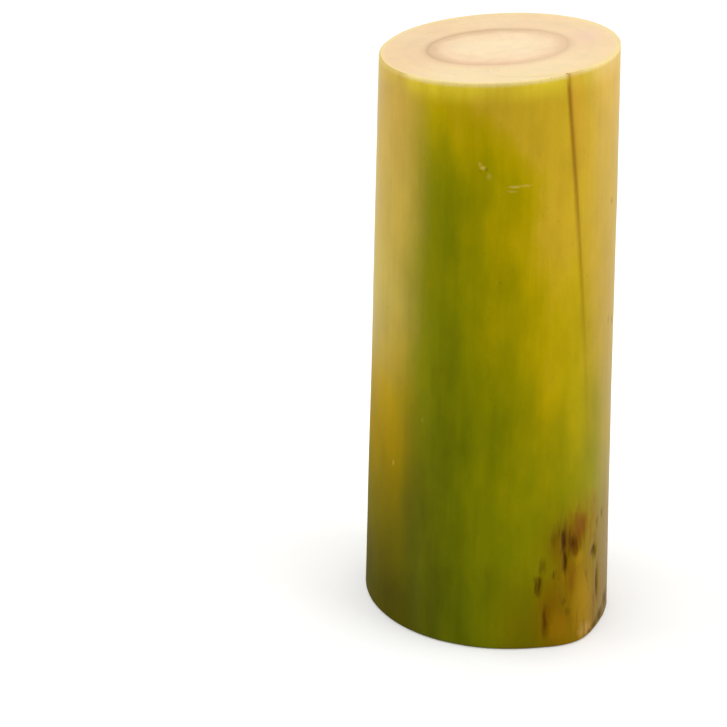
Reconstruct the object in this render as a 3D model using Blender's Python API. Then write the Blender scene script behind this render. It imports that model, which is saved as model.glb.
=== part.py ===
"""A cut length of banana stem, standing on its lower cut.

A solid core is wrapped by two leaf sheaths. Each sheath is a thick leaf base bent round until
its two thin margins lap. The outer sheath's free margin shows as a seam down the green skin.
Metres, +Z up, origin on the stem's axis at the lower cut. -Y is the side with the seam in view.
"""

import math

import bmesh
import bpy
from mathutils import Vector

# Stem
HEIGHT = 0.1999
TOP_RADIUS = 0.0381
BASE_RADIUS = 0.04105
CUT_SLOPE = 0.0638  # rise of the upper cut towards +X, metre per metre
BASE_EDGE = 0.0009  # rounding of the skin at the lower cut
TOP_EDGE = 0.0005  # worn corner of the skin at the upper cut

# The lower end is oval and a little three-sided: shares of the base radius
OVAL_COS = 0.0328
OVAL_SIN = -0.073
LOBE_COS = 0.014
LOBE_SIN = -0.0102

# The outer sheath's margin swells at its bruised foot
BULGE = 0.0027
BULGE_AT = -48.7  # degrees
BULGE_WIDTH = 15.4  # degrees, to where it has fallen to a third
BULGE_FADE = 4  # power of the height that is left above

# Layers, as shares of the stem's radius
CORE_SHARE = 0.545
CORE_OVAL = 0.09  # the core is wider along X than along Y
MIDDLE_SHARE = 0.78  # where the two sheaths meet
GAP = 0.0003

# Margins: angles in degrees, the seam turns as it climbs
SEAM_BASE = -36.0
SEAM_TURN = -12.1
SEAM_CURL = -12.4
OUTER_LAP = 34.0
INNER_SEAM = 128.0
INNER_TURN = 9.0
INNER_LAP = 32.0
MARGIN_EDGE = 0.0010  # thickness of a sheath at its free edge
MARGIN_STEP = 0.5  # degrees between a free edge and the step that it lies in
MOST_WORN = 0.45  # most of a thin margin that its rounded corner may take

# Cut faces: rows of air cells between radial walls
CELL_DEPTH = 0.0006
CELL_ROWS = (0.0, 0.2, 0.8, 1.0)
CELL_GROWTH = 0.35  # how much the cells' depth varies round the stem
CELL_WAVES = 7
CORE_DISH = 0.0005
CORE_RINGS = (0.93, 0.7, 0.4)  # shares of the core's radius, from its rim inwards

# Mesh
OUTER_COLUMNS = 132
OUTER_LAP_COLUMNS = 12
INNER_COLUMNS = 88
INNER_LAP_COLUMNS = 12
CORE_COLUMNS = 60
CLIMB = (0.31, 0.53, 0.71, 0.86)  # levels between the cuts, closer where the seam turns more
SHARP_ANGLE = math.radians(35)


def stem(angle, share):
    """Plain radius of the stem at an angle in radians and a share of the height."""
    oval = OVAL_COS * math.cos(2 * angle) + OVAL_SIN * math.sin(2 * angle)
    lobe = LOBE_COS * math.cos(3 * angle) + LOBE_SIN * math.sin(3 * angle)
    return BASE_RADIUS * (1 + oval + lobe) * (1 - share) + TOP_RADIUS * share


def skin(angle, share):
    """Radius of the stem's outside, with the swollen margin."""
    away = math.remainder(math.degrees(angle) - BULGE_AT, 360) / BULGE_WIDTH
    return stem(angle, share) + BULGE * math.exp(-away * away) * (1 - share) ** BULGE_FADE


def middle(angle, share):
    """Radius at which the two sheaths meet."""
    return MIDDLE_SHARE * stem(angle, share)


def core_side(angle, share):
    """Radius at which the inner sheath meets the core."""
    return CORE_SHARE * (1 + CORE_OVAL * math.cos(2 * angle)) * stem(angle, share)


def point(angle, radius, level):
    """World point on a level, which is a share of the height and an offset from it."""
    share, offset = level
    x = radius * math.cos(angle)
    return Vector((x, radius * math.sin(angle), share * (HEIGHT + CUT_SLOPE * x) + offset))


def spaced(start, end, count):
    """count values from start to end, both included."""
    return [start + (end - start) * i / (count - 1) for i in range(count)]


def band_columns(lap, lap_count, count):
    """Angles along a sheath from its free edge to its tucked edge, with the two steps."""
    free = spaced(0, lap + MARGIN_STEP, lap_count)
    body = spaced(lap + 2 * MARGIN_STEP, 360 - 2 * MARGIN_STEP, count)
    tucked = spaced(360 - MARGIN_STEP, 360 + lap, lap_count)
    return free + body + tucked


def band_radii(travel, lap, outside, inside):
    """Outer and inner radius of a sheath at an angle of travel from its free edge."""
    within_lap = travel if travel < 180 else max(0, travel - 360)
    slope = (outside - inside - 2 * MARGIN_EDGE) / lap
    slit = outside - MARGIN_EDGE - slope * within_lap
    if travel < lap + 1.5 * MARGIN_STEP:
        return outside, slit + GAP / 2
    if travel > 360 - 1.5 * MARGIN_STEP:
        return slit - GAP / 2, inside
    return outside, inside


def cell_depth(row, turn):
    """Depth of an air cell under the plane of the cut. The sheath's two skins stay whole."""
    if row in (0, len(CELL_ROWS) - 1):
        return 0
    return CELL_DEPTH * (1 + CELL_GROWTH * math.sin(CELL_WAVES * turn + row))


def lattice_block(columns, rows, levels):
    """A primitive cube cut into a lattice, whose corners get whole numbers from 0."""
    block = bmesh.new()
    bmesh.ops.create_cube(block, size=1)
    for axis, count in enumerate((columns, rows, levels)):
        along = []
        for edge in block.edges:
            run = edge.verts[1].co - edge.verts[0].co
            if abs(run[axis]) > 0.5:
                along.append(edge)
        bmesh.ops.subdivide_edges(block, edges=along, cuts=count - 2, use_grid_fill=True)
    bmesh.ops.translate(block, verts=block.verts, vec=(0.5, 0.5, 0.5))
    bmesh.ops.scale(block, verts=block.verts, vec=(columns - 1, rows - 1, levels - 1))
    return block


def side_levels(base_edge, top_edge):
    """(share, offset, inset of the skin) from the lower cut to the upper one."""
    levels = [(0, 0, base_edge)]
    if base_edge:
        half_way = base_edge * (1 - math.sqrt(0.5))
        levels += [(0, half_way, half_way), (0, base_edge, 0)]
    levels += [(share, 0, 0) for share in CLIMB]
    if top_edge:
        levels.append((1, -top_edge, 0))
    levels.append((1, 0, top_edge))
    return levels


def finish(name, mesh, colour, roughness):
    """Link an object made from a bmesh, with its material, smooth between sharp edges."""
    bmesh.ops.recalc_face_normals(mesh, faces=mesh.faces)
    data = bpy.data.meshes.new(name)
    mesh.to_mesh(data)
    mesh.free()
    data.shade_smooth()
    data.set_sharp_from_angle(angle=SHARP_ANGLE)
    material = bpy.data.materials.new(name + "_flesh")
    material.use_nodes = True
    shader = material.node_tree.nodes["Principled BSDF"]
    shader.inputs["Base Color"].default_value = (*colour, 1)
    shader.inputs["Roughness"].default_value = roughness
    shader.inputs["Metallic"].default_value = 0
    data.materials.append(material)
    collection.objects.link(bpy.data.objects.new(name, data))


def sheath(name, outside, inside, seam, way, lap, counts, edges, colour, roughness):
    """A leaf sheath: a lattice block bent round the stem until its margins lap."""
    columns = band_columns(lap, *counts)
    cells = range(counts[0] + 1, counts[0] + counts[1] - 1, 2)
    levels = side_levels(*edges)
    top = len(levels) - 1
    block = lattice_block(len(columns), len(CELL_ROWS), len(levels))
    for vertex in block.verts:
        column, row, step = (round(value) for value in vertex.co)
        share, offset, inset = levels[step]
        travel = columns[column]
        angle = math.radians(seam(share) + way * travel)
        outer, inner = band_radii(travel, lap, outside(angle, share), inside(angle, share))
        if travel < 360 - 1.5 * MARGIN_STEP:
            outer -= min(inset, MOST_WORN * (outer - inner))
        radius = outer + (inner - outer) * CELL_ROWS[row]
        vertex.co = point(angle, radius, (share, offset))
        if column in cells and step in (0, top):
            depth = cell_depth(row, angle)
            vertex.co.z += depth if step == 0 else -depth
    finish(name, block, colour, roughness)


def core():
    """The solid core: a primitive cylinder drawn to the stem's section, with a dished cut."""
    levels = side_levels(0, 0)
    cone = bmesh.new()
    bmesh.ops.create_cone(
        cone, cap_ends=True, segments=CORE_COLUMNS, radius1=1, radius2=1, depth=1
    )
    upright = [edge for edge in cone.edges if abs(edge.verts[0].co.z - edge.verts[1].co.z) > 0.5]
    bmesh.ops.subdivide_edges(cone, edges=upright, cuts=len(levels) - 2, use_grid_fill=True)
    cut = max(cone.faces, key=lambda face: face.calc_center_median().z)
    across_flats = math.cos(math.pi / CORE_COLUMNS)
    for wider, ring in zip((1, *CORE_RINGS), CORE_RINGS):
        bmesh.ops.inset_region(cone, faces=[cut], thickness=(wider - ring) * across_flats)
    for vertex in cone.verts:
        step = round((vertex.co.z + 0.5) * (len(levels) - 1))
        share, offset, _ = levels[step]
        angle = math.atan2(vertex.co.y, vertex.co.x)
        within = math.hypot(vertex.co.x, vertex.co.y)
        radius = within * (core_side(angle, share) - GAP / 2)
        vertex.co = point(angle, radius, (share, offset))
        vertex.co.z -= CORE_DISH * math.sqrt(max(0, 1 - within))
    finish("core", cone, (0.80, 0.66, 0.42), 0.6)


def outer_seam(share):
    """Angle of the outer sheath's free edge, in degrees."""
    return SEAM_BASE + SEAM_TURN * share + SEAM_CURL * share * share


def inner_seam(share):
    """Angle of the inner sheath's free edge, in degrees."""
    return INNER_SEAM + INNER_TURN * share


for old in list(bpy.data.objects):
    bpy.data.objects.remove(old, do_unlink=True)

collection = bpy.data.collections.new("banana_stem")
bpy.context.scene.collection.children.link(collection)

sheath(
    "outer_sheath",
    skin,
    lambda angle, share: middle(angle, share) + GAP / 2,
    outer_seam,
    -1,
    OUTER_LAP,
    (OUTER_LAP_COLUMNS, OUTER_COLUMNS),
    (BASE_EDGE, TOP_EDGE),
    (0.33, 0.34, 0.03),
    0.42,
)
sheath(
    "inner_sheath",
    lambda angle, share: middle(angle, share) - GAP / 2,
    lambda angle, share: core_side(angle, share) + GAP / 2,
    inner_seam,
    1,
    INNER_LAP,
    (INNER_LAP_COLUMNS, INNER_COLUMNS),
    (0, 0),
    (0.82, 0.69, 0.45),
    0.55,
)
core()
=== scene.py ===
"""Looks for a cut length of banana stem that stands on its lower cut.

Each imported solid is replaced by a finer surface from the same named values: the green skin,
the cut flesh of the two sheaths with its air cells, and the core. Metres, +Z up.
"""

import math

import bpy
import numpy as np
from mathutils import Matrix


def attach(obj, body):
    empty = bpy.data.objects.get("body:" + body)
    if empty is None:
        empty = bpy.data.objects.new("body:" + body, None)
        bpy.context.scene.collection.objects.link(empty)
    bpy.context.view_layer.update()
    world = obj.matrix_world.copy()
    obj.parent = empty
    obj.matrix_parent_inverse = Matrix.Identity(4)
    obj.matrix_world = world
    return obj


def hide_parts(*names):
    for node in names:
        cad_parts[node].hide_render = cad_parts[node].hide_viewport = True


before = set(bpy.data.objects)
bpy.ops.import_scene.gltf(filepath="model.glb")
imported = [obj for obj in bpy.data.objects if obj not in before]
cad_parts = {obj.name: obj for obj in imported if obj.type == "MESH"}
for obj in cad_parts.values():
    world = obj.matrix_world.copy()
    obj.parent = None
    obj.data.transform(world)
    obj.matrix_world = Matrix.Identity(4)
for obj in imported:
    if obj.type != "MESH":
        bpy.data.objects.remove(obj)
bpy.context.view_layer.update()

# The stem, as in the solids
HEIGHT = 0.1999
TOP_RADIUS = 0.0381
BASE_RADIUS = 0.04105
CUT_SLOPE = 0.0638
BASE_EDGE = 0.0009
TOP_EDGE = 0.0005
OVAL_COS, OVAL_SIN = 0.0328, -0.073
LOBE_COS, LOBE_SIN = 0.014, -0.0102
BULGE, BULGE_AT, BULGE_WIDTH, BULGE_FADE = 0.0027, -48.7, 15.4, 4
CORE_SHARE, CORE_OVAL = 0.545, 0.09
MIDDLE_SHARE = 0.78
SEAM_BASE, SEAM_TURN, SEAM_CURL = -36.0, -12.1, -12.4
OUTER_LAP = 34.0
INNER_SEAM, INNER_TURN, INNER_LAP = 128.0, 9.0, 32.0
MARGIN_EDGE = 0.0010
INNER_EDGE = 0.0002

# Rows and columns of the finer surfaces
SKIN_LEVELS, SKIN_COLUMNS, SKIN_TUCKED = 150, 372, 14
INNER_LEVELS, INNER_COLUMNS, INNER_TUCKED = 20, 330, 22
CORE_RINGS, CORE_COLUMNS = 56, 241
LAP_CORNER = 0.01  # degrees to either side of the place where a lap ends

# Relief that the solids don't have
CLING = 0.000005  # gap between pieces that cling together
CUT_DEPTH = 0.0005  # the most that a cut face dips under its plane
KNIFE_DEPTH, KNIFE_GRAIN = 0.00010, 0.006
CELL_PITCH, CELL_DEPTH = 0.0024, 0.00025
OUTER_CELLS_AT, INNER_CELLS_AT = 0.034, 0.027  # radii at which the cells have their pitch
CREASE = 0.00002  # rounding of a cut face where it meets the next piece
TOP_DISH, BASE_DISH = 0.00030, 0.00010
SWELL_DEPTH, SWELL_SINK, RIDGE_DEPTH = 0.00022, 0.00016, 0.00003
SEAM_LIP, SEAM_DIP, SEAM_ROUND = 0.00020, 0.00030, 0.00018
SEAM_FADE = (0.055, 0.150)  # heights between which the seam's relief grows
SEAM_ROUND_TO = 0.38  # degrees from the free edge to where it is no longer rounded
STREAK_DENT, RUST_DENT, SPOT_DENT = 0.00040, 0.00020, 0.00015

# The photograph's frame, and the camera that was fitted to the stem's outline. The sensor is
# in millimetres, and the camera looks down by an angle in radians.
FRAME_PIXELS, FOCAL_PIXELS, SENSOR = 727, 2000, 36
CAMERA_AT, CAMERA_DOWN = (-0.04276, -0.61138, 0.38121), 0.4457

# Marks on the skin: (angle, height in mm, half width in degrees, half height in mm, strength)
DARK_STREAKS = (
    (-55.3, 40.0, 2.1, 6.8, 1.0),
    (-54.6, 32.5, 1.5, 6.0, 1.0),
    (-50.2, 37.6, 2.3, 4.2, 0.85),
    (-52.6, 38.5, 1.6, 5.5, 0.70),
    (-47.2, 40.0, 1.2, 3.2, 0.40),
    (-60.4, 42.0, 1.8, 4.4, 0.45),
    (-58.0, 44.0, 1.3, 4.0, 0.40),
    (-67.4, 24.9, 2.1, 4.0, 0.90),
    (-66.0, 31.5, 1.9, 3.2, 0.60),
    (-60.3, 27.8, 1.3, 1.5, 0.55),
    (-64.0, 10.5, 1.5, 6.4, 0.75),
    (-55.6, 17.5, 1.2, 1.6, 0.40),
    (-53.6, 12.9, 1.6, 1.6, 0.35),
    (-36.7, 31.4, 2.5, 2.9, 1.0),
    (-33.5, 18.0, 1.7, 7.0, 0.80),
    (-34.1, 41.1, 0.9, 1.8, 0.40),
    (-28.6, 42.8, 1.1, 2.0, 0.45),
    (-22.0, 6.5, 4.0, 4.0, 0.65),
    (-29.3, 3.4, 4.0, 3.0, 0.75),
    (-35.5, 1.9, 3.6, 2.4, 0.70),
    (-41.0, 1.0, 3.2, 1.2, 0.45),
)
RUST_STREAKS = (
    (-45.4, 43.0, 4.8, 6.4, 0.95),
    (-50.0, 38.0, 3.6, 5.4, 1.0),
    (-48.5, 48.0, 5.0, 4.0, 0.45),
    (-52.6, 42.5, 2.0, 4.6, 0.65),
    (-51.0, 25.5, 1.9, 6.6, 0.70),
    (-54.0, 24.0, 1.6, 9.0, 0.35),
    (-57.5, 38.0, 5.0, 8.0, 0.45),
    (-62.8, 12.5, 2.6, 6.5, 0.55),
    (-57.0, 9.0, 6.0, 5.0, 0.30),
)
RUST_GROUND = ((-47.3, 43.0, 5.6, 8.0, 0.75), (-52.0, 26.0, 2.4, 9.0, 0.5))
BRUISED_GROUND = ((-46.0, 12.0, 23.0, 28.0, 1.0), (-43.5, 38.0, 15.0, 20.0, 0.95))
BROWNER_GROUND = ((-60.5, 14.0, 8.5, 17.0, 0.7), (-57.5, 40.0, 12.0, 14.0, 0.55))
GOLDEN_GROUND = (
    (-44.5, 15.0, 7.0, 16.0, 0.9),
    (-46.5, 32.0, 3.2, 3.6, 0.8),
    (-58.0, 8.0, 6.0, 6.0, 0.5),
)
MAUVE_GROUND = ((-24.0, 26.0, 11.0, 32.0, 0.75),)
ROSY_GROUND = ((-44.0, 3.8, 5.0, 3.2, 0.85),)
PALE_SCRATCHES = (
    (-99.9, 172.9, 1.5, 0.9, 0.75),
    (-101.3, 174.0, 0.9, 0.9, 0.45),
    (-96.9, 170.1, 1.6, 1.2, 0.30),
    (-84.6, 166.9, 3.4, 0.55, 0.70),
    (-79.6, 167.2, 3.0, 0.45, 0.55),
    (-86.0, 165.4, 2.6, 0.45, 0.35),
    (-147.5, 62.2, 0.8, 1.3, 0.45),
    (-128.0, 83.0, 0.7, 0.8, 0.20),
)
SMALL_SPOTS = (
    (-19.1, 111.6, 1.2, 2.0, 0.9),
    (-25.6, 113.6, 0.8, 2.2, 0.5),
    (-24.6, 154.2, 1.0, 1.2, 0.8),
    (-98.2, 172.4, 0.9, 0.7, 0.5),
    (-101.0, 171.6, 1.1, 0.5, 0.35),
    (-12.0, 68.0, 1.2, 1.6, 0.7),
    (44.0, 138.0, 1.3, 1.6, 0.8),
    (-289.0, 61.0, 1.6, 2.4, 0.7),
    (-227.0, 94.0, 1.1, 1.5, 0.8),
    (-196.0, 131.0, 1.0, 1.3, 0.6),
)
# Foxed streaks in three places of the hidden side
REAR_STREAKS = (
    (-264.0, 150.0, 2.0, 9.0, 0.55),
    (-260.5, 141.0, 1.5, 6.0, 0.45),
    (38.0, 30.0, 1.8, 8.0, 0.6),
    (34.5, 24.0, 1.4, 5.0, 0.5),
    (-214.0, 46.0, 1.6, 7.0, 0.5),
)
# Tints of the bruise: (marks, full inside, none outside, colour)
BRUISE_TINTS = (
    (BROWNER_GROUND, 0.1, 1.3, (112, 82, 0)),
    (GOLDEN_GROUND, 0.2, 1.3, (154, 118, 8)),
    (MAUVE_GROUND, 0.3, 1.2, (134, 106, 44)),
    (ROSY_GROUND, 0.2, 1.2, (172, 134, 62)),
)

# Colours of the skin from olive to gold, and of its sides from the ground up, the sides with painted
# light on their own tan and gold
FRONT_COLOURS = (
    (0.0, (84, 90, 0)),
    (0.17, (97, 101, 0)),
    (0.37, (116, 117, 0)),
    (0.58, (140, 131, 0)),
    (0.79, (168, 147, 0)),
    (0.91, (178, 151, 14)),
    (1.0, (188, 155, 33)),
)
# Left side: a painted shadow of the stem lying beside it low down, painted golden light bounced off that
# stem further up, and a pale painted reflection of the white surroundings high up, over its own tan
LEFT_TAN_AND_PAINTED_LIGHT = (
    (0.06, (72, 66, 0)),
    (0.20, (103, 92, 0)),
    (0.35, (142, 116, 0)),
    (0.45, (158, 129, 0)),
    (0.60, (173, 151, 60)),
    (0.95, (183, 150, 58)),
)
# Right side: its own tan and gold, with bluer tones that are partly a painted sheen
RIGHT_GOLD_AND_PAINTED_SHEEN = (
    (0.10, (132, 106, 30)),
    (0.28, (149, 127, 45)),
    (0.45, (165, 139, 52)),
    (0.60, (178, 147, 55)),
    (0.85, (186, 154, 60)),
    (1.0, (208, 168, 70)),
)
BACK_COLOURS = (
    (0.08, (106, 94, 6)),
    (0.35, (140, 120, 10)),
    (0.50, (158, 133, 24)),
    (0.68, (175, 148, 54)),
    (0.85, (184, 154, 60)),
)
BACK_GREENS = ((0.1, (96, 98, 4)), (0.9, (134, 126, 8)))


def ease(low, high, value):
    """0 below low, 1 above high, and smooth between."""
    share = np.clip((value - low) / (high - low), 0, 1)
    return share * share * (3 - 2 * share)


class Noise:
    """Smooth seeded noise of two coordinates, from -1 to 1."""

    SIZE = 64

    def __init__(self, seed):
        self.table = np.random.default_rng(seed).uniform(-1, 1, (self.SIZE, self.SIZE))

    def once(self, x, y):
        """One octave, blended between the four nearest values of the table."""
        column, row = np.floor(x).astype(int), np.floor(y).astype(int)
        across, along = ease(0, 1, x - column), ease(0, 1, y - row)
        corner = {}
        for i in (0, 1):
            for j in (0, 1):
                corner[i, j] = self.table[(column + i) % self.SIZE, (row + j) % self.SIZE]
        low = corner[0, 0] * (1 - across) + corner[1, 0] * across
        high = corner[0, 1] * (1 - across) + corner[1, 1] * across
        return low * (1 - along) + high * along

    def __call__(self, x, y, octaves=3):
        total, scale, weight = 0, 1, 1
        for octave in range(octaves):
            total = total + weight * self.once(x * scale + 17.3 * octave, y * scale + 5.1 * octave)
            scale, weight = scale * 2.03, weight * 0.5
        return total / (2 - weight * 2)


def stem(angle, share):
    """Plain radius at an angle in radians and a share of the height."""
    oval = OVAL_COS * np.cos(2 * angle) + OVAL_SIN * np.sin(2 * angle)
    lobe = LOBE_COS * np.cos(3 * angle) + LOBE_SIN * np.sin(3 * angle)
    return BASE_RADIUS * (1 + oval + lobe) * (1 - share) + TOP_RADIUS * share


def skin(angle, share):
    """Radius of the outside, with the margin that swells at its bruised foot."""
    away = ((np.degrees(angle) - BULGE_AT + 180) % 360 - 180) / BULGE_WIDTH
    return stem(angle, share) + BULGE * np.exp(-away * away) * (1 - share) ** BULGE_FADE


def middle(angle, share):
    """Radius at which the two sheaths meet."""
    return MIDDLE_SHARE * stem(angle, share)


def core_side(angle, share):
    """Radius at which the inner sheath meets the core."""
    return CORE_SHARE * (1 + CORE_OVAL * np.cos(2 * angle)) * stem(angle, share)


def place(angle, radius, share, offset):
    """World points for arrays of angle, radius, share of the height and offset upwards."""
    x = radius * np.cos(angle)
    return np.stack([x, radius * np.sin(angle), share * (HEIGHT + CUT_SLOPE * x) + offset], -1)


def make(name, grids, material):
    """An object from grids of points, each with its chart and its four single values."""
    points, quads, chart, start = [], [], [], 0
    single = {"pit": [], "across": [], "under": [], "ring": []}
    for grid in grids:
        rows, columns = grid["points"].shape[:2]
        index = start + np.arange(rows * columns).reshape(rows, columns)
        corners = [index[:-1, :-1], index[:-1, 1:], index[1:, 1:], index[1:, :-1]]
        if grid.get("flip"):
            corners.reverse()
        quads.append(np.stack(corners, -1).reshape(-1, 4))
        points.append(grid["points"].reshape(-1, 3))
        chart.append(grid["chart"].reshape(-1, 3))
        for key, values in single.items():
            values.append(np.broadcast_to(grid.get(key, 0.0), (rows, columns)).reshape(-1))
        start += rows * columns
    points, quads = np.concatenate(points), np.concatenate(quads)
    mesh = bpy.data.meshes.new(name)
    mesh.vertices.add(len(points))
    mesh.vertices.foreach_set("co", points.astype(np.float32).ravel())
    mesh.loops.add(quads.size)
    mesh.loops.foreach_set("vertex_index", quads.astype(np.int32).ravel())
    mesh.polygons.add(len(quads))
    mesh.polygons.foreach_set("loop_start", np.arange(0, quads.size, 4, dtype=np.int32))
    mesh.update(calc_edges=True)
    mesh.validate()
    layer = mesh.attributes.new("chart", "FLOAT_VECTOR", "POINT")
    layer.data.foreach_set("vector", np.concatenate(chart).astype(np.float32).ravel())
    for key, values in single.items():
        layer = mesh.attributes.new(key, "FLOAT", "POINT")
        layer.data.foreach_set("value", np.concatenate(values).astype(np.float32))
    mesh.shade_smooth()
    mesh.materials.append(material)
    piece = bpy.data.objects.new(name, mesh)
    bpy.context.scene.collection.objects.link(piece)
    return piece


def srgb(red, green, blue):
    """Linear colour of an 8-bit sRGB one."""
    values = []
    for value in (red, green, blue):
        value /= 255
        values.append(value / 12.92 if value <= 0.04045 else ((value + 0.055) / 1.055) ** 2.4)
    return tuple(values)


class Tree:
    """A node material, built by calls that return sockets, with a colour that is painted over."""

    def __init__(self, name):
        self.material = bpy.data.materials.new(name)
        self.material.use_nodes = True
        self.tree = self.material.node_tree
        self.shader = self.tree.nodes["Principled BSDF"]
        self.colour = None

    def put(self, socket, value):
        """Links a socket to an input, or sets a value on it."""
        if isinstance(value, bpy.types.NodeSocket):
            self.tree.links.new(value, socket)
        elif isinstance(value, tuple) and len(value) == 3 and socket.type == "RGBA":
            socket.default_value = (*value, 1)
        else:
            socket.default_value = value

    def node(self, kind, inputs, output=0, **settings):
        """A node's output, with its inputs by number or name."""
        node = self.tree.nodes.new(kind)
        for key, value in settings.items():
            setattr(node, key, value)
        for key, value in inputs.items():
            self.put(node.inputs[key], value)
        return node.outputs[output]

    def attribute(self, name, output="Fac"):
        """A value that the mesh carries at its points."""
        return self.node(
            "ShaderNodeAttribute", {}, output, attribute_name=name, attribute_type="GEOMETRY"
        )

    def math(self, operation, *values):
        """Arithmetic on single values."""
        return self.node("ShaderNodeMath", dict(enumerate(values)), operation=operation)

    def vector(self, operation, *values, output=0):
        """Arithmetic on vectors."""
        return self.node("ShaderNodeVectorMath", dict(enumerate(values)), output, operation=operation)

    def combine(self, x, y, z):
        """A vector from three values."""
        return self.node("ShaderNodeCombineXYZ", {0: x, 1: y, 2: z})

    def sum(self, *values):
        """All the values added up."""
        total = values[0]
        for value in values[1:]:
            total = self.math("ADD", total, value)
        return total

    def product(self, *values):
        """All the values multiplied."""
        total = values[0]
        for value in values[1:]:
            total = self.math("MULTIPLY", total, value)
        return total

    def spread(self, noise, width):
        """A noise moved to lie about 0, this wide in all."""
        return self.math("MULTIPLY_ADD", noise, width, -width / 2)

    def line(self, value, low, high, start=0.0, end=1.0, kind="LINEAR"):
        """Runs from start at low to end at high, and stays level beyond."""
        inputs = {"Value": value, "From Min": low, "From Max": high, "To Min": start, "To Max": end}
        return self.node("ShaderNodeMapRange", inputs, interpolation_type=kind)

    def step(self, value, low, high, start=0.0, end=1.0):
        """The same, eased at both ends."""
        return self.line(value, low, high, start, end, "SMOOTHSTEP")

    def ramp(self, value, stops):
        """Colours blended along a value, each with its place."""
        node = self.tree.nodes.new("ShaderNodeValToRGB")
        elements = node.color_ramp.elements
        for element, (place_at, colour) in zip((elements[0], elements[1]), (stops[0], stops[-1])):
            element.position = place_at
            element.color = (*srgb(*colour), 1)
        for place_at, colour in stops[1:-1]:
            elements.new(place_at).color = (*srgb(*colour), 1)
        self.put(node.inputs[0], value)
        return node.outputs[0]

    def noise(self, vector, stretch, detail=3.0, roughness=0.5, output=0):
        """Noise of a place, stretched by three factors."""
        scaled = self.vector("MULTIPLY", vector, stretch)
        inputs = {"Vector": scaled, "Scale": 1.0, "Detail": detail, "Roughness": roughness}
        return self.node("ShaderNodeTexNoise", inputs, output)

    def blend(self, factor, first, second, kind="MIX"):
        """Two colours mixed, or multiplied."""
        node = self.tree.nodes.new("ShaderNodeMix")
        node.data_type = "RGBA"
        node.blend_type = kind
        inputs = (node.inputs[0], node.inputs[6], node.inputs[7])
        for socket, value in zip(inputs, (factor, first, second)):
            self.put(socket, value)
        return node.outputs[2]

    def paint(self, factor, colour):
        """Blends a colour over the present one. It is a socket or an 8-bit sRGB colour."""
        if isinstance(colour, tuple):
            colour = srgb(*colour)
        self.colour = self.blend(factor, self.colour, colour)

    def lighten(self, light):
        """Multiplies the present colour by a single value."""
        self.colour = self.blend(1.0, self.colour, self.combine(light, light, light), "MULTIPLY")

    def marks(self, table, where, inner, outer):
        """Soft oval marks: full inside the inner share of their size, none outside the outer."""
        total = None
        for mark_angle, mark_height, wide, tall, strength in table:
            away = self.vector("SUBTRACT", where, (mark_angle, mark_height, 0.0))
            away = self.vector("MULTIPLY", away, (1 / wide, 1 / tall, 0.0))
            far = self.vector("LENGTH", away, output=1)
            mask = self.step(far, outer, inner, 0.0, strength)
            total = mask if total is None else self.math("MAXIMUM", total, mask)
        return total

    def finish(self, rough, distance, *heights):
        """Links colour, roughness and a bump from pairs of a value and its height."""
        parts = [self.math("MULTIPLY", value, height) for value, height in heights]
        inputs = {"Strength": 0.5, "Distance": distance, "Height": self.sum(*parts)}
        self.put(self.shader.inputs["Base Color"], self.colour)
        self.put(self.shader.inputs["Roughness"], rough)
        self.put(self.shader.inputs["Normal"], self.node("ShaderNodeBump", inputs))
        return self.material


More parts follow.
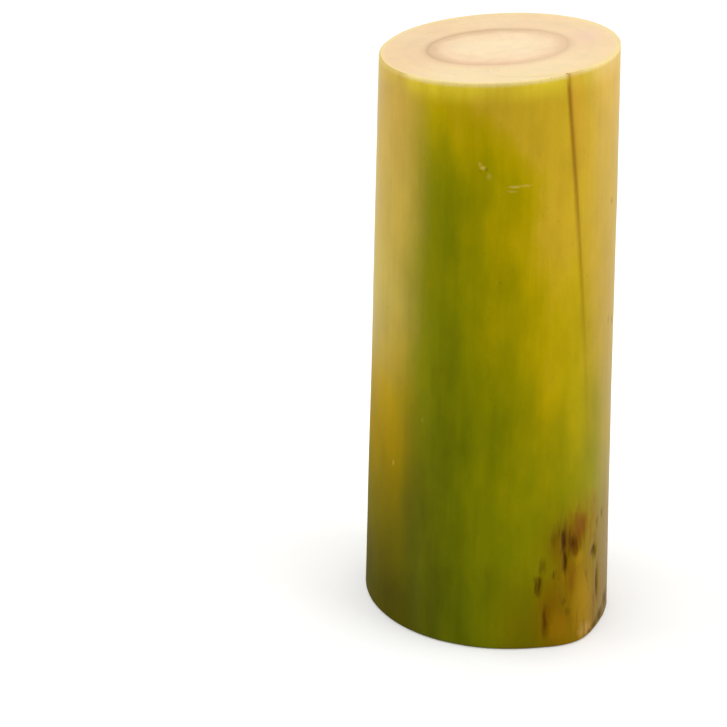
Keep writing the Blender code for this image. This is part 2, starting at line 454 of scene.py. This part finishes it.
class Skin(Tree):
    """Waxy skin: olive green to gold, with fibres, the seam, bruises, spots and scratches.

    Angles are degrees from -300 to 60, so that the seam is crossed without a jump. Heights are
    millimetres from the ground, and `under` is millimetres under the upper cut.
    """

    MEAN_RADIUS = 39.0

    def __init__(self):
        super().__init__("skin")
        bearing = self.node("ShaderNodeSeparateXYZ", {0: self.attribute("chart", "Vector")})
        self.height = bearing.node.outputs[1]
        self.depth = bearing.node.outputs[2]
        self.travel = self.attribute("across")
        self.under = self.attribute("under")
        past_start = self.math("LESS_THAN", bearing, -300.0)
        self.angle = self.math("MULTIPLY_ADD", past_start, 360.0, bearing)
        self.chart = self.combine(self.angle, self.height, 0.0)

        # Millimetres in space, on a tube that is the same all the way up
        turn = self.math("MULTIPLY", bearing, math.pi / 180)
        self.sine = self.math("SINE", turn)
        x = self.math("MULTIPLY", self.math("COSINE", turn), self.MEAN_RADIUS)
        y = self.math("MULTIPLY", self.sine, self.MEAN_RADIUS)
        self.space = self.combine(x, y, self.height)

        self.fibre = self.noise(self.space, (1.7, 1.7, 0.045), 4.0, 0.6)
        self.vein = self.noise(self.space, (0.60, 0.60, 0.012), 2.0, 0.5)
        self.mottle = self.noise(self.space, (0.085, 0.085, 0.05), 5.0, 0.6)
        self.patch = self.noise(self.space, (0.055, 0.055, 0.028), 4.0, 0.55)
        self.grain = self.noise(self.space, (2.6, 2.6, 0.9), 4.0, 0.65)
        self.hue = self.noise(self.space, (0.11, 0.11, 0.016), 3.0, 0.55)
        self.strand = self.noise(self.space, (1.3, 1.3, 0.07), 3.0, 0.6)
        jitter = self.noise(self.space, (0.75, 0.75, 0.20), 4.0, output=1)
        centred = self.vector("SUBTRACT", jitter, (0.5, 0.5, 0.5))
        self.shift = self.vector("MULTIPLY", centred, (2.8, 7.0, 0.0))

        # The angle with uneven borders, and where the hidden back begins
        self.turned = self.sum(self.angle, self.spread(self.patch, 18.0), self.spread(self.hue, 12.0))
        right_back = self.step(self.angle, -2.0, 34.0)
        self.behind = self.math("MAXIMUM", self.step(self.turned, -176.0, -226.0), right_back)

    def plain_skin(self):
        """The front from olive to gold, the sides past it with their painted light, and the back."""
        high_up = self.math("MULTIPLY_ADD", self.height, 0.005, self.spread(self.patch, 0.10))
        self.colour = self.green_front()
        on_left_with_painted_light = self.product(
            self.step(self.turned, -121.0, -149.0), self.step(self.angle, -236.0, -200.0)
        )
        # Paints the left side's tan with its painted shadow, bounced light and reflection
        self.paint(on_left_with_painted_light, self.ramp(high_up, LEFT_TAN_AND_PAINTED_LIGHT))
        past = self.math("ADD", self.turned, self.line(self.height, 60.0, 125.0, -13.0, 0.0))
        # Paints the right side's tan and gold, partly a painted sheen
        self.paint(self.step(past, -54.0, -30.0), self.ramp(high_up, RIGHT_GOLD_AND_PAINTED_SHEEN))
        back_left = self.product(
            self.step(self.angle, -300.0, -262.0),
            self.step(self.angle, -195.0, -238.0),
            self.step(self.height, 165.0, 50.0, 0.25, 0.9),
        )
        back = self.blend(
            back_left, self.ramp(high_up, BACK_COLOURS), self.ramp(high_up, BACK_GREENS)
        )
        self.paint(self.behind, back)

    def green_front(self):
        """Olive, turning to gold at the right and under the upper cut."""
        aside = self.line(self.turned, -116.0, -64.0, 0.0, 0.87)
        gold = self.sum(
            self.line(self.height, 20.0, 150.0, -0.10, 0.27),
            self.step(self.height, 158.0, 198.0, 0.0, 0.50),
            self.math("MULTIPLY", aside, self.line(self.height, 60.0, 150.0, 0.46, 0.92)),
            self.spread(self.patch, 0.5),
            self.spread(self.hue, 0.4),
        )
        return self.ramp(self.line(gold, -0.2, 1.0), FRONT_COLOURS)

    def dark_foot_of_green(self):
        """A darker strip along the green's left edge low down, partly painted shade from the stem lying
        beside it, and browner green before the bruise.
        """
        strip = self.product(
            self.step(self.turned, -145.0, -133.0),
            self.step(self.turned, -111.0, -126.0),
            self.step(self.height, 100.0, 45.0, 0.0, 0.45),
        )
        # Painted shade in part: the stem lying beside it shadows this strip
        self.paint(strip, (58, 56, 0))
        browned = self.product(
            self.step(self.turned, -98.0, -70.0),
            self.step(self.angle, 6.0, -20.0),
            self.step(self.height, 42.0, 8.0, 0.0, 0.55),
        )
        self.paint(browned, (98, 76, 0))

    def dried_rim(self):
        """A pale dried edge along the upper cut, weaker at the left and behind."""
        lip = self.math("ADD", self.under, self.spread(self.grain, 1.6))
        less_behind = self.math("MULTIPLY_ADD", self.behind, -0.5, 1.0)
        fresh = self.product(self.step(self.angle, -136.0, -148.0, 1.0, 0.30), less_behind)
        dried = self.product(self.step(self.hue, 0.36, 0.58, 0.55, 1.0), fresh)
        at_right = self.step(self.angle, -60.0, -32.0)
        pale = self.blend(at_right, srgb(223, 200, 52), srgb(212, 181, 108))
        self.paint(self.product(self.step(lip, 8.5, 0.3, 0.0, 0.72), dried), pale)
        self.paint(self.product(self.step(lip, 1.8, 0.0, 0.0, 0.8), fresh), (236, 214, 156))
        at_back = self.product(
            self.step(self.under, 0.9, 0.3), self.step(self.sine, -0.2, 0.2, 0.0, 0.9)
        )
        self.paint(at_back, (232, 203, 158))

    def fibres(self):
        """Light and dark along the fibres, and in blotches."""
        light = self.sum(
            self.spread(self.fibre, 0.08),
            self.spread(self.vein, 0.08),
            self.spread(self.mottle, 0.40),
            self.spread(self.grain, 0.10),
            1.0,
        )
        self.lighten(light)

    def bruise(self):
        """The bruised foot of the margin: ochre ground, rust, and dark streaks along the fibres."""
        frayed = self.vector("ADD", self.chart, self.shift)
        stranded = self.step(self.strand, 0.38, 0.60, 0.40, 1.0)
        ground = self.marks(BRUISED_GROUND, frayed, 0.45, 1.2)
        self.paint(self.product(ground, 0.95, stranded), (136, 98, 0))
        for table, inner, outer, colour in BRUISE_TINTS:
            self.paint(self.marks(table, frayed, inner, outer), colour)
        dirt = self.noise(self.space, (0.50, 0.50, 0.09), 5.0, 0.65)
        self.speck = self.product(ground, self.step(dirt, 0.54, 0.68))
        self.paint(self.math("MULTIPLY", self.speck, 0.45), (104, 68, 0))
        self.paint(self.marks(RUST_GROUND, frayed, 0.2, 1.25), (120, 76, 0))
        rust = self.product(self.marks(RUST_STREAKS, frayed, 0.1, 1.35), stranded)
        self.paint(self.math("MULTIPLY", rust, 0.95), (118, 66, 0))
        dark = self.marks(DARK_STREAKS + REAR_STREAKS, frayed, 0.05, 1.45)
        self.dark = self.product(dark, self.step(self.strand, 0.32, 0.52, 0.60, 1.0))
        self.paint(self.dark, (64, 32, 0))

    def spots(self):
        """Small spots, pale scratches and freckles."""
        little = self.vector("MULTIPLY", self.shift, (0.35, 0.12, 0.0))
        frayed = self.vector("ADD", self.chart, little)
        spots = self.marks(SMALL_SPOTS, frayed, 0.3, 1.2)
        self.paint(self.math("MULTIPLY", spots, 0.75), (98, 76, 22))
        self.scratch = self.marks(PALE_SCRATCHES, frayed, 0.2, 1.3)
        self.paint(self.math("MULTIPLY", self.scratch, 0.8), (208, 178, 82))
        freckle = self.step(self.noise(self.space, (0.7, 0.7, 0.5), 2.0), 0.70, 0.78)
        self.paint(self.product(freckle, 0.30), (104, 84, 20))

    def seam(self):
        """A soft brown line at the free edge, which fades towards the base, and painted shade where the
        skin sinks into the groove beside it.
        """
        short_of_turn = self.math("ABSOLUTE", self.math("SUBTRACT", 360.0, self.travel))
        near = self.math("MINIMUM", self.travel, short_of_turn)
        near = self.math("ADD", near, self.spread(self.grain, 0.6))
        uneven = self.noise(self.space, (0.02, 0.02, 0.09), 3.0, 0.6)
        grown = self.sum(
            self.line(self.height, 58.0, 150.0, 0.0, 0.52),
            self.line(self.height, 150.0, 182.0, 0.0, 0.43),
        )
        faded = self.math("MULTIPLY", self.step(self.under, 0.3, 5.0, 0.45, 1.0), grown)
        line = self.product(self.step(near, 2.3, 0.1), faded, self.step(uneven, 0.3, 0.6, 0.8, 1.0))
        self.paint(line, (138, 94, 14))
        warm = self.product(
            self.step(self.travel, 349.0, 356.0), self.step(self.height, 160.0, 190.0, 0.0, 0.35)
        )
        self.paint(warm, (206, 150, 52))
        # Painted shade, darker brown where the skin sinks into the groove by the free edge
        groove_shade = self.product(
            self.step(self.depth, 0.25, 0.8),
            self.step(self.travel, 350.0, 359.0),
            self.step(self.height, 66.0, 100.0),
        )
        self.paint(groove_shade, (110, 74, 10))

    def darker_foot(self):
        """Darker along the skin's lowest few millimetres, where it meets the ground."""
        wavy = self.math("ADD", self.height, self.math("MULTIPLY", self.mottle, 3.0))
        foot = self.step(wavy, 3.6, 1.2)
        self.paint(self.math("MULTIPLY", foot, 0.22), (66, 50, 8))

    def build(self):
        """The whole material, painted from the ground colours up."""
        self.plain_skin()
        self.dark_foot_of_green()
        self.dried_rim()
        self.fibres()
        self.bruise()
        self.spots()
        self.seam()
        self.darker_foot()
        dull = self.product(
            self.step(self.turned, -120.0, -150.0),
            self.step(self.angle, -250.0, -215.0),
            self.step(self.height, 110.0, 60.0),
        )
        rough = self.sum(
            self.math("MULTIPLY_ADD", self.mottle, 0.20, 0.30),
            self.math("MULTIPLY", self.dark, 0.25),
            self.math("MULTIPLY", self.scratch, 0.2),
            self.math("MULTIPLY", dull, 0.4),
        )
        self.shader.inputs["Specular IOR Level"].default_value = 0.08
        self.shader.inputs["Specular Tint"].default_value = (1.0, 0.85, 0.0, 1)
        return self.finish(
            rough, 0.0006, (self.fibre, 0.16), (self.vein, 0.16), (self.grain, 0.10),
            (self.dark, -0.5), (self.scratch, -0.35), (self.speck, -0.25),
        )


class Flesh(Tree):
    """Cut flesh: pale and fibrous, with painted shade in the open cells, and browned softly along the
    core's ring.
    """

    def __init__(self, name):
        super().__init__(name)
        bearing = self.node("ShaderNodeSeparateXYZ", {0: self.attribute("chart", "Vector")})
        turn = self.math("MULTIPLY", bearing, math.pi / 180)
        self.cosine = self.math("COSINE", turn)
        self.in_front = self.step(self.math("SINE", turn), -0.3, -0.95)
        self.space = self.node("ShaderNodeTexCoord", {}, "Object")
        self.fine = self.noise(self.space, (1500.0, 1500.0, 1500.0), 4.0, 0.65)
        self.blotch = self.noise(self.space, (130.0, 130.0, 40.0), 4.0, 0.6)

    def plain_flesh(self, pale, warm):
        """Two pale colours in soft patches, with blotches, the ends of fibres, and painted shade in the
        open cells.
        """
        broad = self.noise(self.space, (45.0, 45.0, 20.0), 3.0, 0.5)
        self.colour = self.blend(self.step(broad, 0.35, 0.65), srgb(*pale), srgb(*warm))
        self.lighten(self.sum(self.spread(self.fine, 0.14), self.spread(self.blotch, 0.30), 1.0))
        bundle = self.node(
            "ShaderNodeTexVoronoi",
            {"Vector": self.space, "Scale": 620.0, "Randomness": 1.0},
            "Distance",
            feature="F1",
        )
        self.dot = self.product(
            self.step(bundle, 0.26, 0.12), self.step(self.blotch, 0.45, 0.60)
        )
        self.paint(self.math("MULTIPLY", self.dot, 0.20), (176, 132, 84))
        # Painted shade, darker where the cut opens into air cells
        self.paint(self.math("MULTIPLY", self.attribute("pit"), 0.32), (196, 176, 136))

    def sides(self):
        """Duller to the left, and a pink bruise near the right end."""
        x = self.node("ShaderNodeSeparateXYZ", {0: self.space})
        self.paint(self.step(x, -0.010, -0.024, 0.0, 0.18), (206, 170, 134))
        away = self.vector("SUBTRACT", self.space, (0.0285, 0.006, 0.2))
        away = self.vector("MULTIPLY", away, (170.0, 110.0, 0.0))
        pink = self.step(self.vector("LENGTH", away, output=1), 1.2, 0.2, 0.0, 0.5)
        self.paint(pink, (230, 190, 180))

    def core_ring(self, within):
        """A broad soft shade round the core with a faint line in it, weaker in front and at right."""
        to_right = self.math("MAXIMUM", 0.0, self.cosine)
        ring = self.math("SUBTRACT", self.attribute("ring"), to_right)
        self.paint(self.step(ring, 14.0, 2.0, 0.0, 0.38), within)
        weak = self.sum(
            self.math("MULTIPLY", self.in_front, -0.35), self.math("MULTIPLY", to_right, -0.30), 1.0
        )
        wobble = self.spread(self.blotch, 3.0)
        away = self.math("ADD", self.math("SUBTRACT", ring, 0.9), wobble)
        shade = self.blend(self.in_front, srgb(186, 150, 110), srgb(204, 148, 116))
        soft = self.step(self.math("ABSOLUTE", away), 4.4, 0.2, 0.0, 0.44)
        self.paint(self.product(soft, weak), shade)
        away = self.math("ADD", ring, self.math("MULTIPLY", wobble, 0.4))
        line = self.step(self.math("ABSOLUTE", away), 1.1, 0.1, 0.0, 0.24)
        self.paint(self.product(line, weak), (176, 128, 92))
        yellower = self.product(self.in_front, self.step(ring, -1.0, -5.0, 0.0, 0.45))
        self.paint(yellower, (236, 217, 170))

    def rim(self, colour):
        """The outer sheath's edge, redder at the front right."""
        across = self.attribute("across")
        redder = self.product(
            self.step(self.cosine, 0.10, 0.40), self.in_front, self.step(across, 0.45, 0.05)
        )
        self.paint(self.math("MULTIPLY", redder, 0.40), (232, 192, 132))
        self.paint(self.math("MULTIPLY", self.step(across, 0.24, 0.0), 0.7), colour)

    def build(self, pale, warm, within, rim=None):
        """The whole material, with a rim's colour where the piece has a rim."""
        self.plain_flesh(pale, warm)
        self.sides()
        self.core_ring(within)
        if rim is not None:
            self.rim(rim)
        self.shader.inputs["Specular IOR Level"].default_value = 0.35
        self.shader.inputs["Subsurface Weight"].default_value = 0.12
        self.shader.inputs["Subsurface Radius"].default_value = (0.004, 0.002, 0.001)
        self.shader.inputs["Subsurface Scale"].default_value = 1.0
        knife = self.node(
            "ShaderNodeTexWave",
            {"Vector": self.space, "Scale": 160.0, "Distortion": 6.0, "Detail": 2.0, "Detail Scale": 1.5},
            bands_direction="DIAGONAL",
        )
        return self.finish(
            self.math("MULTIPLY_ADD", self.blotch, 0.25, 0.42), 0.0005,
            (self.fine, 0.35), (self.blotch, 0.30), (knife, 0.10), (self.dot, -0.25),
        )


SWELL, RIDGE, CELLS, OPEN, UNEVEN = (Noise(seed) for seed in (3, 11, 23, 31, 47))


def skin_relief(travel, angle, height):
    """Height of the skin over its plain form. It stays inside the plain form's box."""
    turns = np.degrees(angle)
    away = ease(0, 14, travel) * ease(360, 346, travel)
    swell = SWELL_DEPTH * SWELL(turns / 34, height / 0.045) * away - SWELL_SINK
    ridges = RIDGE_DEPTH * RIDGE(turns / 3.4, height / 0.11, 2) * away
    turns = turns + 360 * (turns < -300)
    fade = ease(*SEAM_FADE, height)
    lip = SEAM_LIP * np.exp(-travel / 2.6) * fade
    dip = -SEAM_DIP * np.exp(-np.maximum(0, 360 - travel) / 4.5) * fade
    relief = swell + ridges + lip + dip
    dents = ((DARK_STREAKS, STREAK_DENT), (RUST_STREAKS, RUST_DENT), (SMALL_SPOTS, SPOT_DENT))
    for table, depth in dents:
        for mark_angle, mark_height, wide, tall, strength in table:
            far = ((turns - mark_angle) / wide) ** 2 + ((height * 1000 - mark_height) / tall) ** 2
            relief = relief - depth * strength * np.exp(-far)
    return relief


def rough_cut(x, y):
    """Depth that the knife left on a cut face."""
    return KNIFE_DEPTH * (1 + UNEVEN(x / KNIFE_GRAIN, y / KNIFE_GRAIN, 4))


def cut_relief(angle, radius, across, openness, cells_at):
    """Depth of a cut face under its plane, and how much of it is open cell."""
    arc = angle * cells_at / CELL_PITCH
    lean = 0.8 * CELLS(angle * 9, across * 2, 2)
    phase = np.abs(((arc + lean) % 1.0) - 0.5) * 2
    window = ease(0.16, 0.34, across) * (1 - ease(0.62, 0.84, across))
    cell = (1 - ease(0.62, 0.86, phase)) * window * openness
    return rough_cut(radius * np.cos(angle), radius * np.sin(angle)) + CELL_DEPTH * cell, cell


def band(seam, way, lap, outside, inside, travel, share, groove):
    """Angle, outer and inner radius of a sheath along its travel from the free edge."""
    angle = np.radians(seam(share) + way * travel)
    outer, inner = outside(angle, share), inside(angle, share)
    wall = outer - inner
    under = np.where(travel < 180, travel, np.maximum(0, travel - 360))
    slit = outer - MARGIN_EDGE - (wall - 2 * MARGIN_EDGE) * under / lap
    inner = np.where(travel < lap, slit + CLING / 2, inner)
    outer = np.where(travel > 360 - groove, slit - CLING / 2, outer)
    return angle, outer, inner


def outer_seam(share):
    """Degrees at which the outer sheath's free edge runs."""
    return SEAM_BASE + SEAM_TURN * share + SEAM_CURL * share * share


def inner_seam(share):
    """Degrees at which the inner sheath's free edge runs."""
    return INNER_SEAM + INNER_TURN * share


def inner_outside(angle, share):
    """Outer radius of the inner sheath."""
    return middle(angle, share) - CLING


def inner_inside(angle, share):
    """Inner radius of the inner sheath."""
    return core_side(angle, share) + CLING / 2


def levels_up(base_edge, top_edge, count):
    """Arrays of share, offset and inset from the lower cut to the upper one."""
    corner = np.linspace(0, math.pi / 2, 6)
    low = np.stack([0 * corner, base_edge * (1 - np.cos(corner)), base_edge * (1 - np.sin(corner))], 1)
    body = np.linspace(0.008, 0.996, count)
    up = np.stack([body, 0 * body, 0 * body], 1)
    high = np.stack(
        [0 * corner + 1, -top_edge * (1 - np.sin(corner)), top_edge * (1 - np.cos(corner))], 1
    )
    return np.concatenate([low, up, high]).T


def chart_of(angle, z, depth):
    """Degrees round the stem, millimetres up it and millimetres under the skin."""
    return np.stack([np.degrees(angle), z * 1000, depth * 1000], -1)


def surface(angle, radius, share, offset, **values):
    """A grid for make, with its points and its chart worked out."""
    points = place(angle, radius, share, offset)
    chart = chart_of(angle, points[..., 2], skin(angle, share) - radius)
    return {"points": points, "chart": chart, **values}


def inner_wall(angle, inner, share, offset, flip=False):
    """The hidden side of a sheath, with few levels. It ends under the uneven cuts."""
    rows = np.r_[0, np.linspace(8, len(share) - 9, 7).astype(int), len(share) - 1]
    offset = offset[rows].copy()
    offset[0] += CUT_DEPTH
    offset[-1] -= CUT_DEPTH
    return surface(angle[rows], inner[rows], share[rows], offset, across=1.0, flip=flip)


def outer_travel(rows, groove):
    """Degrees from the free edge, past a full turn where the other margin is tucked in."""
    free_edge = [0.0, 0.06, 0.18, 0.38, 0.7]
    body = np.linspace(1.2, 357.5, SKIN_COLUMNS)
    body = np.sort(np.r_[body, OUTER_LAP - LAP_CORNER, OUTER_LAP + LAP_CORNER])
    back_edge = [358.2, 358.7, 359.0]
    plain = np.concatenate([free_edge, body, back_edge])
    tucked = 360 + np.linspace(1.0, OUTER_LAP, SKIN_TUCKED)
    return np.concatenate(
        [
            np.broadcast_to(plain, (rows, len(plain))),
            360 - groove * np.array([[1.3, 1.05, 1.0001, 0.8]]),
            np.broadcast_to(tucked, (rows, len(tucked))),
        ],
        axis=1,
    )


def outer_cut(travel, angle, outer, inner, share, offset, sign):
    """A cut face of the outer sheath, with faint cells away from the margins."""
    steps = np.concatenate([[0, 0.012], np.linspace(0.035, 0.965, 22), [0.988, 1]])[:, None]
    radius = outer + (inner - outer) * steps
    turn = np.broadcast_to(angle, radius.shape)
    openness = 0.55 * ease(0.05, 0.5, OPEN(turn * 3, radius / 0.02, 2))
    openness = openness * ease(4, 30, travel) * ease(356, 330, travel)
    down, cell = cut_relief(turn, radius, steps, openness, OUTER_CELLS_AT)
    down = down * np.where(travel > 360, 1, ease(0, 0.03, steps)) + CREASE * ease(0.96, 1.0, steps)
    return surface(
        turn, radius, share, offset + sign * down, pit=cell, across=steps, ring=-30.0, flip=sign == -1
    )


def build_outer_sheath():
    """The green sheath: its skin, with the seam's groove, and its cut faces."""
    share, offset, inset = (row[:, None] for row in levels_up(BASE_EDGE, TOP_EDGE, SKIN_LEVELS))
    height = share * HEIGHT + offset
    # degrees of gap at the free edge, which opens towards the upper cut
    groove = 0.01 + 0.07 * ease(0.085, 0.17, height) + 0.25 * ease(0.190, 0.199, height)
    travel = outer_travel(len(share), groove)
    angle, outer, inner = band(outer_seam, -1, OUTER_LAP, skin, middle, travel, share, groove)
    to_edge = 1 - np.clip(travel / SEAM_ROUND_TO, 0, 1)
    rounded = SEAM_ROUND * (1 - np.sqrt(1 - to_edge**2)) * ease(*SEAM_FADE, height)
    worn = np.minimum(inset, 0.45 * np.maximum(outer - inner, 0.0004))
    relief = skin_relief(travel, angle, height)
    outer = outer + np.where(travel <= 360 - groove, relief - rounded - worn, 0.0)
    sunk = np.where(travel > 360, CUT_DEPTH * ((share == 0) * 1.0 - (share == 1)), 0)
    points = place(angle, outer, share, offset + sunk)
    skin_grid = {
        "points": points,
        "chart": chart_of(angle, points[..., 2], skin(angle, share) - outer - worn),
        "across": travel,
        "under": ((1 - share) * HEIGHT - offset) * 1000,
        "flip": True,
    }
    grids = []
    for level, sign in ((-1, -1), (0, 1)):
        rows = (row[level] for row in (travel, angle, outer, inner, share, offset))
        grids.append(outer_cut(*rows, sign))
    grids.append(inner_wall(angle, inner, share, offset))
    return [skin_grid], grids


def inner_cut(angle, outer, inner, share, offset, sign):
    """A cut face of the inner sheath, with open cells in front and fewer at the back."""
    steps = np.concatenate([[0, 0.02], np.linspace(0.05, 0.95, 20), [0.98, 1]])[:, None]
    radius = outer + (inner - outer) * steps
    turn = np.broadcast_to(angle, radius.shape)
    degrees = np.degrees(turn) % 360
    front = np.exp(-(((degrees - 260) / 12) ** 2)) + 0.5 * np.exp(-(((degrees - 80) / 8) ** 2))
    openness = np.clip(front + 0.15 * ease(0.1, 0.6, OPEN(turn * 4 + 9, radius / 0.02, 2)), 0, 1)
    down, cell = cut_relief(turn, radius, steps, openness, INNER_CELLS_AT)
    down = down + CREASE * (ease(0.06, 0.0, steps) + ease(0.97, 1.0, steps))
    ring = (core_side(turn, share) - radius) * 1000
    return surface(
        turn, radius, share, offset + sign * down, pit=cell, across=steps, ring=ring, flip=sign == 1
    )


def build_inner_sheath():
    """The pale sheath round the core. Only its cut faces show."""
    share, offset, _ = (row[:, None] for row in levels_up(INNER_EDGE, INNER_EDGE, INNER_LEVELS))
    body = np.linspace(0, 359.2, INNER_COLUMNS)
    body = np.sort(np.r_[body, INNER_LAP - LAP_CORNER, INNER_LAP + LAP_CORNER, 359.97])
    travel = np.r_[body, np.linspace(360, 360 + INNER_LAP, INNER_TUCKED)]
    travel = np.broadcast_to(travel, (len(share), len(travel)))
    angle, outer, inner = band(
        inner_seam, 1, INNER_LAP, inner_outside, inner_inside, travel, share, 0.02
    )
    grids = []
    for level, sign in ((-1, -1), (0, 1)):
        rows = (row[level] for row in (angle, outer, inner, share, offset))
        grids.append(inner_cut(*rows, sign))
    grids.append(inner_wall(angle, inner, share, offset, flip=True))
    grids.append(inner_wall(angle, outer, share, offset))
    return grids


def build_core():
    """The solid core, dished a little at its cuts."""
    around = np.linspace(0, 2 * math.pi, CORE_COLUMNS)[None]
    edge, middle_point = [1, 0.995, 0.985, 0.97], [0.0001]
    rings = np.concatenate([edge, np.linspace(0.95, 0.02, CORE_RINGS), middle_point])[:, None]
    grids = []
    for share, sign, dish in ((1.0, -1, TOP_DISH), (0.0, 1, BASE_DISH)):
        radius = rings * (core_side(around, share) - CLING / 2)
        angle = np.broadcast_to(around, radius.shape)
        down = rough_cut(radius * np.cos(angle), radius * np.sin(angle))
        down = down + dish * ease(1.02, 0.5, rings) + CREASE * ease(0.96, 1.0, rings)
        ring = (radius[:1] - radius) * 1000
        grids.append(surface(angle, radius, share, sign * down, ring=ring, flip=sign == 1))
    share = np.linspace(0, 1, 9)[:, None]
    radius = core_side(around, share) - CLING / 2
    angle = np.broadcast_to(around, radius.shape)
    grids.append(surface(angle, radius, share, CUT_DEPTH * (1 - 2 * share)))
    return grids


skin_look = Skin().build()
outer_look = Flesh("outer_flesh").build(
    (232, 206, 164), (230, 199, 154), (230, 199, 154), rim=(234, 212, 142)
)
inner_look = Flesh("inner_flesh").build((231, 203, 163), (228, 197, 155), (228, 197, 155))
core_look = Flesh("core_flesh").build((235, 213, 175), (233, 208, 168), (226, 184, 144))

skin_grids, outer_grids = build_outer_sheath()
pieces = {
    "outer_sheath_skin": (skin_grids, skin_look, "outer_sheath"),
    "outer_sheath_cut": (outer_grids, outer_look, "outer_sheath"),
    "inner_sheath_flesh": (build_inner_sheath(), inner_look, "inner_sheath"),
    "core_flesh": (build_core(), core_look, "core"),
}
for name, (grids, look, node) in pieces.items():
    piece = make(name, grids, look)
    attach(piece, "root")
    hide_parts(node)


def floor():
    """A plain pale ground."""
    bpy.ops.mesh.primitive_plane_add(size=8, location=(0, 0, 0))
    ground = bpy.context.object
    ground.name = "ground"
    t = Tree("ground")
    t.shader.inputs["Base Color"].default_value = (0.9, 0.9, 0.9, 1)
    t.shader.inputs["Roughness"].default_value = 0.9
    t.shader.inputs["Specular IOR Level"].default_value = 0.1
    t.shader.inputs["Emission Color"].default_value = (1, 1, 1, 1)
    t.shader.inputs["Emission Strength"].default_value = 0.14
    ground.data.materials.append(t.material)


def lamp(name, position, target, size, power):
    """A soft white light, oblong, turned to its target."""
    data = bpy.data.lights.new(name, "AREA")
    data.shape = "RECTANGLE"
    data.size, data.size_y = size
    data.energy = power
    light = bpy.data.objects.new(name, data)
    light.location = position
    aim = np.array(target) - np.array(position)
    light.rotation_euler = (
        math.atan2(math.hypot(aim[0], aim[1]), -aim[2]), 0, math.atan2(-aim[0], aim[1])
    )
    bpy.context.scene.collection.objects.link(light)


def studio():
    """Even white light from all round, and colours shown as they are."""
    world = bpy.data.worlds.new("studio")
    world.use_nodes = True
    background = world.node_tree.nodes["Background"]
    background.inputs["Color"].default_value = (1, 1, 1, 1)
    background.inputs["Strength"].default_value = 0.40
    bpy.context.scene.world = world
    bpy.context.scene.view_settings.view_transform = "Standard"


def camera():
    """The camera at the photograph's viewing angle."""
    data = bpy.data.cameras.new("camera")
    data.sensor_width = SENSOR
    data.lens = SENSOR * FOCAL_PIXELS / FRAME_PIXELS
    data.clip_start = 0.01
    viewer = bpy.data.objects.new("camera", data)
    viewer.location = CAMERA_AT
    viewer.rotation_euler = (math.pi / 2 - CAMERA_DOWN, 0, 0)
    bpy.context.scene.collection.objects.link(viewer)
    bpy.context.scene.camera = viewer


floor()
lamp("left", (-1.3, 0.15, 0.55), (0, 0, 0.12), (1.2, 1.1), 10.3)
lamp("right", (1.2, -0.35, 0.6), (0, 0, 0.12), (1.2, 1.1), 9.5)
lamp("above", (0.0, 0.1, 1.5), (0, 0, 0.1), (1.6, 1.6), 14.7)
studio()
camera()
